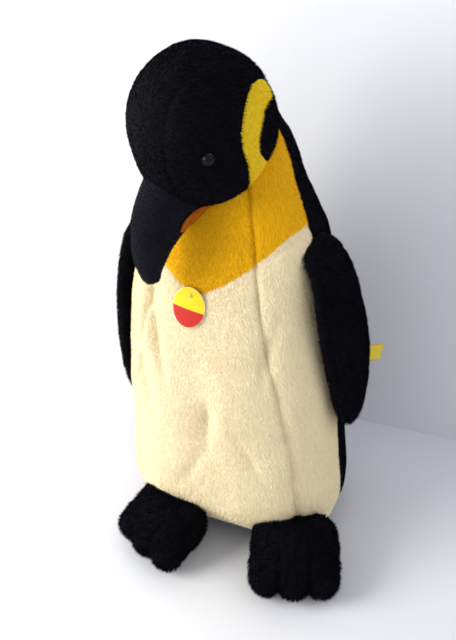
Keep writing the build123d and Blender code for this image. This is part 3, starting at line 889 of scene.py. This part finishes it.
def ear_distance(place):
    if abs(place.x) < 18 * MM:
        return 0.02
    return outline_distance((place.y, place.z), ear_outline)


def head_depth(place):
    """Brow, cheeks, muzzle and eye sockets on the plain egg, in the head's own directions."""
    depth = 1.1 * MM * lumps(place, 0.045, 6.0) + 0.5 * MM * lumps(place, 0.018, 2.0)
    for spot, size, rise in HEAD_FORMS:
        for side in (1, -1):
            away = (place - Vector((spot[0] * side, spot[1], spot[2])) * MM).length
            depth += rise * MM * bell(away, size * MM) * (0.5 if spot[0] == 0 else 1.0)
    if place.z > crown_end:
        depth -= 1.0 * MM * bell(abs(place.x) - crown_half_width, 2.6 * MM)
    return depth - 0.8 * MM * bell(ear_distance(place), 2.4 * MM)


HEAD_FORMS = (
    ((0, -66, -26), 30, 4.5),
    ((44, -40, -30), 26, 4.0),
    ((40, -40, 34), 24, 1.0),
    ((52, -36, 9), 9, -4.2),
    ((50, 20, -10), 28, 1.5),
    ((36, 42, 44), 34, -5.0),
)


def make_head():
    rows, columns = 60, 96
    rings = []
    for k in range(1, rows):
        tilt = math.pi * k / rows - math.pi / 2
        ring = []
        for c in range(columns):
            turn = 2 * math.pi * c / columns
            way = (math.cos(turn) * math.cos(tilt), math.sin(turn) * math.cos(tilt), math.sin(tilt))
            ring.append(Vector([along * radius for along, radius in zip(way, head_radii)]))
        rings.append(ring)
    head = bridge_rings("head_skin", rings)
    subdivide(head)
    for _ in range(2):
        for vertex in head.data.vertices:
            gap = ear_distance(vertex.co)
            if abs(gap) < 1.3 * MM:
                step = 0.2 * MM
                along_y = ear_distance(vertex.co + Vector((0, step, 0))) - gap
                along_z = ear_distance(vertex.co + Vector((0, 0, step))) - gap
                slope = Vector((0, along_y, along_z)) / step
                vertex.co -= slope * gap
                vertex.co = on_head(vertex.co)
    numbers = []
    for face in head.data.polygons:
        centre = face.center
        if ear_distance(centre) < 0:
            numbers.append(3 if centre.x > 0 else 4)
        elif abs(centre.x) < crown_half_width and centre.z > crown_end:
            numbers.append(0)
        else:
            numbers.append(1 if centre.x > 0 else 2)
    for _ in range(5):
        head.data.materials.append(None)
    head.data.polygons.foreach_set("material_index", numbers)
    sculpt(head, head_depth)
    head.data.transform(head_frame)
    names = ("crown", "face_left", "face_right", "ear_left", "ear_right")
    panels = split_by_panel(head, names)
    nap = head_frame.to_3x3() @ Vector((0, 0.75, -0.65))
    short = dict(spacing=1.3 * MM, length=3.0 * MM, width=0.50 * MM, lean=1.1, untidy=0.26, nap=nap)
    black = dict(material=skin_black, shades=pile_black, body="head", slot="black_plush", **short)
    finish_skin(panels["crown"], replaces=["crown_gusset", "head_stuffing"], **black)
    for side in ("left", "right"):
        finish_skin(panels[f"face_{side}"], replaces=[f"head_side_{side}"], **black)
        finish_skin(
            panels[f"ear_{side}"], skin_ear, pile_ear, "head", [f"ear_patch_{side}"], "yellow_plush",
            **dict(short, nap=head_frame.to_3x3() @ Vector((0, 0.2, -1.0))),
        )


def make_eye(name, side):
    """A domed eye with a low rim, seated in its socket."""
    x = head_radii.x * math.sqrt(1 - (eye_depth / head_radii.y) ** 2 - (eye_height / head_radii.z) ** 2)
    spot = Vector((side * x, eye_depth, eye_height))
    out = Vector([along / radius ** 2 for along, radius in zip(spot, head_radii)]).normalized()
    turned = out.to_track_quat("Z", "Y").to_matrix().to_4x4()
    profile = [
        (0.6, 3.4), (1.8, 3.25), (2.9, 2.9), (3.8, 2.3), (4.4, 1.7), (4.8, 1.0), (5.0, 0.5),
        (5.6, 0.6), (5.8, 0.2), (5.7, -0.6), (4.0, -1.2),
    ]
    eye = turned_profile(name + "_dome", profile, 48)
    eye.data.transform(head_frame @ Matrix.Translation(spot - out * 1.0 * MM) @ turned)
    subdivide(eye)
    shade_smooth(eye)
    paint(eye, eye_gloss)
    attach(eye, "head")
    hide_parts(name)


# ---- Beak --------------------------------------------------------------------------------
# Depth, height, half thickness, half width and slope of the beak's middle line.
BEAK_LINE = np.array((
    (-36.0, -31.0, 35.0, 27.0, 10.0),
    (-58.0, -36.0, 34.5, 24.5, 20.0),
    (-81.0, -46.0, 29.5, 20.5, 36.0),
    (-100.0, -61.0, 21.0, 16.5, 54.0),
    (-112.0, -77.0, 13.0, 13.0, 68.0),
    (-117.0, -87.0, 8.5, 9.5, 76.0),
))


beak_tip_reach = 10.5 * MM
mouth_drop = 6.0 * MM


def beak_ring(part, columns=48):
    """One outline of the beak at a share of its length."""
    station = part * (len(BEAK_LINE) - 1)
    place = np.arange(len(BEAK_LINE))
    window = [station + step * 0.25 for step in (-1, 0, 1)]
    depth, height, thick, wide, slope = (
        float(np.mean(np.interp(window, place, BEAK_LINE[:, i]))) for i in range(5)
    )
    forward = Vector((0, -math.cos(math.radians(slope)), -math.sin(math.radians(slope))))
    up = Vector((0, -forward.z, forward.y)) * -1
    ring = []
    for c in range(columns):
        angle = 2 * math.pi * c / columns
        x = math.cos(angle) * wide
        rise = math.sin(angle) * thick
        ring.append((Vector((0, depth, height)) + Vector((1, 0, 0)) * x + up * rise) * MM)
    return ring, forward


def make_beak():
    rows = 34
    rings = [beak_ring(k / rows)[0] for k in range(rows + 1)]
    last, forward = beak_ring(1.0)
    rings += rounded_end(last, forward * beak_tip_reach, 9, 8.6)
    beak = bridge_rings("beak_skin", rings)
    subdivide(beak)

    def mouth_gap(place):
        """How far above the mouth line a point of the beak's side is."""
        heights = BEAK_LINE[:, 1] * MM - mouth_drop
        depths = BEAK_LINE[:, 0] * MM
        return place.z - float(np.interp(-place.y, -depths, heights))

    def beak_depth(place):
        depth = 0.5 * MM * lumps(place, 0.016, 4.0)
        depth -= 1.1 * MM * bell(mouth_gap(place), 1.6 * MM) * (1 if place.y < -60 * MM else 0.3)
        return depth

    numbers = [0 if mouth_gap(face.center) > 0 else 1 for face in beak.data.polygons]
    for _ in range(2):
        beak.data.materials.append(None)
    beak.data.polygons.foreach_set("material_index", numbers)
    sculpt(beak, beak_depth)
    beak.data.transform(head_frame)
    panels = split_by_panel(beak, ("beak_top", "beak_under"))
    velour = beak_velour()
    nap = head_frame.to_3x3() @ Vector((0, -0.5, -0.8))
    short = dict(spacing=1.1 * MM, length=1.5 * MM, width=0.42 * MM, lean=0.7, untidy=0.4, nap=nap)
    shades = pile_shades("beak_pile", BEAK_BLUE, (0.6, 1.0, 1.7), 0.02, 0.8, 0.05)
    common = dict(material=velour, shades=shades, body="head", slot="beak_velour", **short)
    finish_skin(panels["beak_top"], replaces=["beak_upper", "beak_stuffing"], **common)
    finish_skin(panels["beak_under"], replaces=["beak_lower"], **common)


def make_stripes():
    """An orange lozenge of felt on each side of the lower beak."""
    felt = orange_felt()
    for name, side in (("beak_stripe_left", 1), ("beak_stripe_right", -1)):
        rings = []
        for k in range(0, 25):
            part = 0.07 + 0.36 * k / 24
            ring = beak_ring(part, 96)[0]
            centre = sum(ring, Vector()) / len(ring)
            half = 0.34 * math.sin(math.pi * (k + 0.5) / 25) ** 0.8
            middle_angle = -0.80 + 0.45 * k / 24
            row = []
            for j in range(13):
                angle = middle_angle + half * (j / 6 - 1)
                across = math.cos(angle) * side
                index = (math.atan2(math.sin(angle), across) / (2 * math.pi)) % 1.0 * 96
                low = int(index) % 96
                point = ring[low].lerp(ring[(low + 1) % 96], index - int(index))
                out = (point - centre).normalized()
                rise = 1.9 * MM - 0.9 * MM * abs(j / 6 - 1) ** 4
                row.append(point + out * rise)
            rings.append(row)
        mesh = bmesh.new()
        grid = [[mesh.verts.new(point) for point in row] for row in rings]
        for a, b in zip(grid, grid[1:]):
            for j in range(12):
                mesh.faces.new((a[j], a[j + 1], b[j + 1], b[j]))
        bmesh.ops.recalc_face_normals(mesh, faces=mesh.faces)
        stripe = object_from(name + "_felt", mesh)
        solid = stripe.modifiers.new("thick", "SOLIDIFY")
        solid.thickness = 1.6 * MM
        solid.offset = 0.0
        apply_modifiers(stripe)
        stripe.data.transform(head_frame)
        shade_smooth(stripe)
        paint(stripe, felt)
        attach(stripe, "head")
        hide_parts(name)


# ---- Flippers ----------------------------------------------------------------------------
# Share of the length, of the half width and of the half thickness, and shift to the back.
FLIPPER_OUTLINE = np.array((
    (0.00, 0.66, 1.00, -0.06),
    (0.10, 0.84, 1.15, -0.04),
    (0.30, 1.00, 1.30, 0.00),
    (0.55, 1.05, 1.25, 0.02),
    (0.75, 1.00, 1.10, 0.04),
    (0.90, 0.82, 0.90, 0.08),
    (1.00, 0.45, 0.55, 0.12),
))
flipper_length = 0.230
flipper_half_width = 0.050
flipper_half_thickness = 0.0075
flipper_flare = math.radians(5.0)
flipper_bow = 0.008


def flipper_ring(share, columns=64):
    window = [share + step * 0.03 for step in (-1, 0, 1)]
    wide, thick, shift = (
        float(np.mean(np.interp(window, FLIPPER_OUTLINE[:, 0], FLIPPER_OUTLINE[:, i]))) for i in (1, 2, 3)
    )
    half_wide = wide * flipper_half_width - skin_inset
    half_thick = thick * flipper_half_thickness - skin_inset * 0.5
    ring = []
    for c in range(columns):
        angle = 2 * math.pi * c / columns
        x = half_thick * abs(math.cos(angle)) ** 0.8 * (1 if math.cos(angle) > 0 else -1)
        y = half_wide * abs(math.sin(angle)) ** 0.9 * (1 if math.sin(angle) > 0 else -1)
        ring.append(Vector((x, y + shift * flipper_half_width, -share * flipper_length)))
    return ring


def make_flipper(side_name, side):
    joint = joints[f"flipper_{side_name}_lift"]
    axis = Vector(joint["axis"]) * -side
    sweep = math.atan2(axis.z, axis.y)
    hinge = Vector(joint["pos_m"])
    turned = Matrix.Rotation(sweep, 4, "X") @ Matrix.Rotation(-side * flipper_flare, 4, "Y")
    place = Matrix.Translation(hinge) @ turned
    rings = [flipper_ring(k / 58) for k in range(59)]
    rings += rounded_end(rings[-1], Vector((0, 0.3, -1)) * 6 * MM, 5, 4.6)
    root = rings[0]
    above = []
    for rise, share, inward in ((5, 0.97, 1), (11, 0.90, 4), (17, 0.78, 8), (23, 0.55, 13)):
        above.append([Vector((p.x * share - side * inward * MM, p.y * share, rise * MM)) for p in root])
    flipper = bridge_rings(f"flipper_{side_name}", above[::-1] + rings)
    subdivide(flipper)

    def flipper_depth(point):
        depth = 0.9 * MM * lumps(point, 0.035, 12.0 + side) + 0.4 * MM * lumps(point, 0.014, 9.0)
        share = -point.z / flipper_length
        wide = float(np.interp(share, FLIPPER_OUTLINE[:, 0], FLIPPER_OUTLINE[:, 1])) * flipper_half_width
        shift = float(np.interp(share, FLIPPER_OUTLINE[:, 0], FLIPPER_OUTLINE[:, 3])) * flipper_half_width
        off_edge = wide - abs(point.y - shift)
        depth -= 0.9 * MM * bell(off_edge - 6 * MM, 3 * MM)
        return depth

    sculpt(flipper, flipper_depth)
    for vertex in flipper.data.vertices:
        share = max(0.0, -vertex.co.z / flipper_length)
        curl = (vertex.co.y / flipper_half_width) ** 2
        vertex.co.x -= side * (5.0 * MM * curl * min(1.0, share * 3) - 1.5 * MM)
        vertex.co.x += side * flipper_bow * 4 * share * (1 - share)
    flipper.data.transform(place)
    down = (place.to_3x3() @ Vector((0, 0, -1))).normalized()
    shade_smooth(flipper)
    finish_skin(
        flipper, skin_black, pile_black, f"flipper_{side_name}",
        [f"flipper_outer_{side_name}", f"flipper_lining_{side_name}", f"flipper_wadding_{side_name}"],
        "black_plush", blend=("torso", f"flipper_{side_name}", hinge - down * 0.014, hinge + down * 0.024),
        spacing=1.5 * MM, length=4.2 * MM, width=0.55 * MM, lean=1.1, untidy=0.35,
    )
    return place


def make_label(place):
    """A folded woven strip whose ends go into the flipper's back edge."""
    share = 0.78
    centre_height = -share * flipper_length
    root = 1.01 * flipper_half_width - 6 * MM
    stand = flipper_bow * 4 * share * (1 - share)
    reach = 26 * MM
    half = 10 * MM
    gap = 0.9 * MM
    path = []
    for k in range(14):
        path.append((root + reach * k / 14, gap * (0.5 + 0.5 * math.sin(math.pi * k / 14))))
    for k in range(7):
        angle = math.pi / 2 - math.pi * k / 6
        path.append((root + reach + gap * math.cos(angle), gap * 0.5 * math.sin(angle)))
    for k in range(13, -1, -1):
        path.append((root + reach * k / 14, -gap * (0.5 + 0.5 * math.sin(math.pi * k / 14))))
    mesh = bmesh.new()
    uv = mesh.loops.layers.uv.new("UVMap")
    rows = []
    for y, x in path:
        droop = 0.0022 * ((y - root) / reach) ** 2
        heights = [centre_height + half * (j / 4 - 1) - droop for j in range(9)]
        rows.append([mesh.verts.new((stand + x + droop * 0.6, y, height)) for height in heights])
    for k, (a, b) in enumerate(zip(rows, rows[1:])):
        for j in range(8):
            face = mesh.faces.new((a[j], a[j + 1], b[j + 1], b[j]))
            for loop, (u, v) in zip(face.loops, ((j, k), (j + 1, k), (j + 1, k + 1), (j, k + 1))):
                loop[uv].uv = (u / 8, v / len(rows))
    bmesh.ops.recalc_face_normals(mesh, faces=mesh.faces)
    label = object_from("yellow_label", mesh)
    solid = label.modifiers.new("thick", "SOLIDIFY")
    solid.thickness = 0.45 * MM
    solid.offset = 0.0
    apply_modifiers(label)
    rooted = Matrix.Translation((0, root, centre_height))
    hang = Matrix.Rotation(math.radians(-25.0), 4, "Z") @ Matrix.Rotation(math.radians(-28.0), 4, "X")
    label.data.transform(place @ rooted @ hang @ rooted.inverted())
    shade_smooth(label)
    paint(label, woven_label())
    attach(label, "flipper_left")
    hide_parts("sewn_label")


# ---- Feet and tail -----------------------------------------------------------------------
FOOT_FORMS = (
    ((0, -8, 31), (48, 40, 33)),
    ((0, -27, 25), (49, 31, 27)),
    ((-29, -39, 18), (19.5, 21, 19)),
    ((0, -43, 19), (19.5, 20, 20)),
    ((29, -39, 18), (19.5, 21, 19)),
    ((-24, 4, 38), (22, 22, 25)),
    ((24, 4, 38), (22, 22, 25)),
)


def make_foot(side_name, side, toe_turn, reach):
    joint = joints[f"foot_{side_name}_flex"]
    ankle = Vector(joint["pos_m"])
    turned = Matrix.Rotation(side * math.radians(toe_turn), 4, "Z")
    place = Matrix.Translation((ankle.x, ankle.y, 0)) @ turned
    mesh = bmesh.new()
    for centre, radii in FOOT_FORMS:
        form = Matrix.Translation(Vector(centre) * MM) @ Matrix.Diagonal(Vector(radii) * MM).to_4x4()
        bmesh.ops.create_icosphere(mesh, subdivisions=4, radius=1.0, matrix=form)
    foot = object_from(f"foot_{side_name}", mesh)
    remesh = foot.modifiers.new("one_skin", "REMESH")
    remesh.mode = "VOXEL"
    remesh.voxel_size = 2.4 * MM
    soften = foot.modifiers.new("soften", "SMOOTH")
    soften.factor = 0.5
    soften.iterations = 10
    apply_modifiers(foot)

    def foot_depth(point):
        depth = 0.8 * MM * lumps(point, 0.022, 20.0 + side)
        ahead = max(0.0, min(1.0, (-point.y - 22 * MM) / (26 * MM)))
        for cleft in (-16.5 * MM, 16.5 * MM):
            depth -= 2.6 * MM * ahead * bell(point.x - cleft, 3.4 * MM)
        return depth

    sculpt(foot, foot_depth)
    for vertex in foot.data.vertices:
        vertex.co.z = max(vertex.co.z, 1.0 * MM)
        if vertex.co.y < 0:
            vertex.co.y *= reach
    foot.data.transform(place)
    shade_smooth(foot)
    nap = place.to_3x3() @ Vector((0, -0.8, -0.3))
    finish_skin(
        foot, skin_black, pile_black, f"foot_{side_name}",
        [f"foot_top_{side_name}", f"foot_sole_{side_name}", f"foot_stuffing_{side_name}"],
        "black_plush", spacing=1.5 * MM, length=4.6 * MM, width=0.55 * MM, lean=0.9, untidy=0.4, nap=nap,
    )


def make_tail():
    joint = joints["tail_lift"]
    tilt = math.radians(38.0)
    root = Vector(joint["pos_m"]) + Vector((0, 8 * MM * math.cos(tilt), 0))
    place = Matrix.Translation(root) @ Matrix.Rotation(tilt, 4, "X")
    rings = []
    for k in range(25):
        share = k / 24
        wide = 27 * MM * (1 - 0.55 * share ** 2.2)
        thick = 7 * MM * (1 - 0.5 * share ** 1.6)
        ring = []
        for c in range(40):
            angle = 2 * math.pi * c / 40
            ring.append(Vector((wide * math.cos(angle), thick * math.sin(angle), 16 * MM - share * 74 * MM)))
        rings.append(ring)
    rings += rounded_end(rings[-1], Vector((0, 0, -3 * MM)), 4, 3.6)
    tail = bridge_rings("tail_cloth", rings)
    subdivide(tail)
    sculpt(tail, lambda point: 0.8 * MM * lumps(point, 0.02, 31.0))
    tail.data.transform(place)
    shade_smooth(tail)
    finish_skin(
        tail, skin_black, pile_black, "tail", ["tail_skin", "tail_stuffing"], "black_plush",
        spacing=1.7 * MM, length=4.8 * MM, width=0.62 * MM, lean=0.8, untidy=0.35, nap=(0, 0.5, -0.8),
    )


# ---- Chest tag ---------------------------------------------------------------------------
tag_half_width = 17.0 * MM
tag_half_height = 21.0 * MM
tag_tilt = math.radians(-7.0)
tag_hole_drop = 0.30 * 2 * tag_half_height


def make_tag():
    joint = joints["tag_swing"]
    normal = Vector(joint["axis"]).normalized()
    across = Vector((1, 0, 0)) - normal * normal.x
    across.normalize()
    up = normal.cross(across)
    turned = Matrix((across, up, normal)).transposed().to_4x4()
    place = Matrix.Translation(Vector(joint["pos_m"]) + normal * 2.6 * MM)
    place = place @ turned @ Matrix.Rotation(tag_tilt, 4, "Z")
    mesh = bmesh.new()
    uv = mesh.loops.layers.uv.new("UVMap")
    hole = 1.2 * MM
    rows = []
    for k in range(11):
        share = (k / 10) ** 0.9
        row = []
        for c in range(72):
            angle = 2 * math.pi * c / 72
            run, rise = math.cos(angle), math.sin(angle)
            edge = Vector((tag_half_width * run, tag_half_height * rise - tag_hole_drop, 0))
            inner = Vector((hole * run, hole * rise, 0))
            point = inner.lerp(edge, share)
            bow = 1.2 * MM * ((point.x / tag_half_width) ** 2 - 0.4)
            row.append(mesh.verts.new((point.x, point.y, -bow)))
        rows.append(row)
    for a, b in zip(rows, rows[1:]):
        for c in range(72):
            mesh.faces.new((a[c], b[c], b[(c + 1) % 72], a[(c + 1) % 72]))
    for face in mesh.faces:
        for loop in face.loops:
            x, y = loop.vert.co.x, loop.vert.co.y + tag_hole_drop
            loop[uv].uv = (0.5 + x / (2 * tag_half_width), 0.5 + y / (2 * tag_half_height))
    card = object_from("chest_tag", mesh)
    solid = card.modifiers.new("thick", "SOLIDIFY")
    solid.thickness = 0.8 * MM
    solid.offset = 0.0
    edge = card.modifiers.new("soft_edge", "BEVEL")
    edge.width = 0.2 * MM
    edge.segments = 2
    apply_modifiers(card)
    card.data.transform(place)
    shade_smooth(card)
    paint(card, tag_card())
    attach(card, "tag")
    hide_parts("swing_tag")
    profile = [
        (0.5, 1.8), (1.4, 1.7), (2.1, 1.4), (2.4, 1.0), (2.3, 0.75), (0.9, 0.6), (0.85, -1.5), (0.85, -6.5),
    ]
    pin = turned_profile("chest_pin", profile, 24)
    pin.data.transform(place)
    subdivide(pin)
    shade_smooth(pin)
    paint(pin, moulded_plastic("pin_plastic", (0.42, 0.34, 0.03), (0.60, 0.50, 0.05), 0.3))
    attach(pin, "torso")
    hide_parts("tag_pin")


# ---- What stays from the frame ------------------------------------------------------------
def finish_inner_pieces():
    """The pellet bag and the eyes' washers are inside, and keep their own shapes."""
    pellets = moulded_plastic("pellet_bag_cloth", (0.55, 0.54, 0.50), (0.72, 0.71, 0.68), 0.7)
    washer = moulded_plastic("washer_plastic", (0.70, 0.70, 0.70), (0.84, 0.84, 0.84), 0.4)
    paint(frame["nodes"]["pellet_bag"], pellets)
    for side in ("left", "right"):
        paint(frame["nodes"][f"eye_washer_{side}"], washer)


# ---- The room, which isn't part of the penguin ---------------------------------------------
def clear_from_behind(material):
    """Lets a camera that stands behind a wall look through it."""
    nodes, links = material.node_tree.nodes, material.node_tree.links
    output = next(node for node in nodes if node.type == "OUTPUT_MATERIAL")
    painted = output.inputs["Surface"].links[0].from_socket
    clear = nodes.new("ShaderNodeBsdfTransparent")
    seen_side = nodes.new("ShaderNodeNewGeometry")
    either = nodes.new("ShaderNodeMixShader")
    links.new(seen_side.outputs["Backfacing"], either.inputs[0])
    links.new(painted, either.inputs[1])
    links.new(clear.outputs[0], either.inputs[2])
    links.new(either.outputs[0], output.inputs["Surface"])


def make_room():
    """A pale floor and a wall close behind the penguin."""
    wall_turn = Matrix.Rotation(math.radians(4.5), 4, "Z") @ Matrix.Rotation(math.radians(90.0), 4, "X")
    below = Matrix.Translation((0, 0, -0.006))
    behind = Matrix.Translation((0, 0.173, 2.0)) @ wall_turn
    for name, place in (("floor", below), ("wall", behind)):
        mesh = bmesh.new()
        bmesh.ops.create_grid(mesh, x_segments=1, y_segments=1, size=2.5, matrix=place)
        sheet = object_from(name, mesh)
        finish = room_paint(name + "_paint")
        if name == "wall":
            clear_from_behind(finish)
        paint(sheet, finish)


# ---- Everything together -------------------------------------------------------------------
eye_gloss = eye_plastic()
make_room()
make_torso()
make_head()
make_eye("eye_left", 1)
make_eye("eye_right", -1)
make_beak()
make_stripes()
left_place = make_flipper("left", 1)
make_flipper("right", -1)
make_label(left_place)
make_foot("left", 1, 20.0, 1.0)
make_foot("right", -1, 25.0, 0.80)
make_tail()
make_tag()
finish_inner_pieces()
